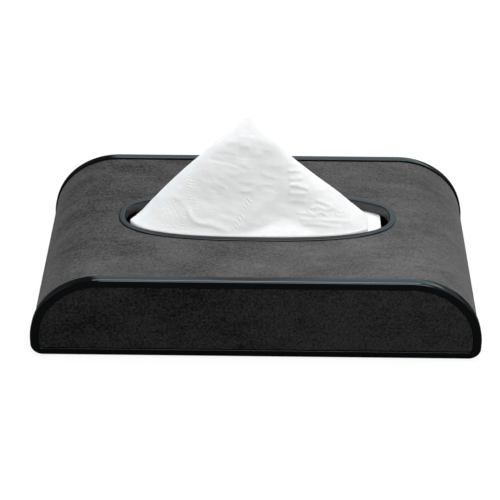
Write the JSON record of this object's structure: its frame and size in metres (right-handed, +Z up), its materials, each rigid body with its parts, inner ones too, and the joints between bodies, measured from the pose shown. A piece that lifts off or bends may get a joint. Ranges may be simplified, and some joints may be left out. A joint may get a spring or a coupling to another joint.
{
  "type": "car tissue holder",
  "caption": "Suede-covered tissue holder with D-shaped ends, glossy end frames and a ringed oval slot, closed below by a magnet-held base plate, with a sheet drawn up.",
  "frame": {"origin": "on the surface that the feet stand on, under the middle of the box", "axes": "+X along the box's long side, to the right seen from the front; the front end panel faces -Y; +Z up, out of the slot"},
  "size_m": [0.24, 0.13, 0.1105],
  "materials": {
    "gloss_trim": "polished black ABS",
    "suede": "short-napped dark grey microfibre suede",
    "suede_black": "short-napped black microfibre suede",
    "moulded_plastic": "fine spark-eroded black ABS",
    "magnet_nickel": "nickel-plated neodymium",
    "screw_zinc": "zinc-plated steel",
    "foot_rubber": "matt black silicone rubber",
    "tissue": "soft white two-ply tissue with dot embossing"
  },
  "bodies": {
    "base": {"base_plate": "moulded_plastic", "foot_front_left": "foot_rubber", "foot_front_right": "foot_rubber", "foot_rear_left": "foot_rubber", "foot_rear_right": "foot_rubber", "base_magnet_front_left": "magnet_nickel", "base_magnet_front_right": "magnet_nickel", "base_magnet_rear_left": "magnet_nickel", "base_magnet_rear_right": "magnet_nickel", "tissue_stack": "tissue"},
    "cover": {"cover_shell": "moulded_plastic", "cover_suede": "suede", "opening_ring": "gloss_trim", "front_frame": "gloss_trim", "rear_frame": "gloss_trim", "front_board": "moulded_plastic", "rear_board": "moulded_plastic", "front_suede": "suede_black", "rear_suede": "suede_black", "front_screw_lower_left": "screw_zinc", "front_screw_lower_right": "screw_zinc", "front_screw_upper_left": "screw_zinc", "front_screw_upper_right": "screw_zinc", "rear_screw_lower_left": "screw_zinc", "rear_screw_lower_right": "screw_zinc", "rear_screw_upper_left": "screw_zinc", "rear_screw_upper_right": "screw_zinc", "cover_magnet_front_left": "magnet_nickel", "cover_magnet_front_right": "magnet_nickel", "cover_magnet_rear_left": "magnet_nickel", "cover_magnet_rear_right": "magnet_nickel"},
    "tissue": {"pulled_tissue": "tissue"}
  },
  "joints": [
    {"name": "cover_lift", "type": "slide", "parent": "base", "child": "cover", "axis": [0, 0, 1], "range_m": [0, 0.12]},
    {"name": "tissue_pull", "type": "slide", "parent": "base", "child": "tissue", "axis": [0, 0, 1], "range_m": [0, 0.1]}
  ]
}
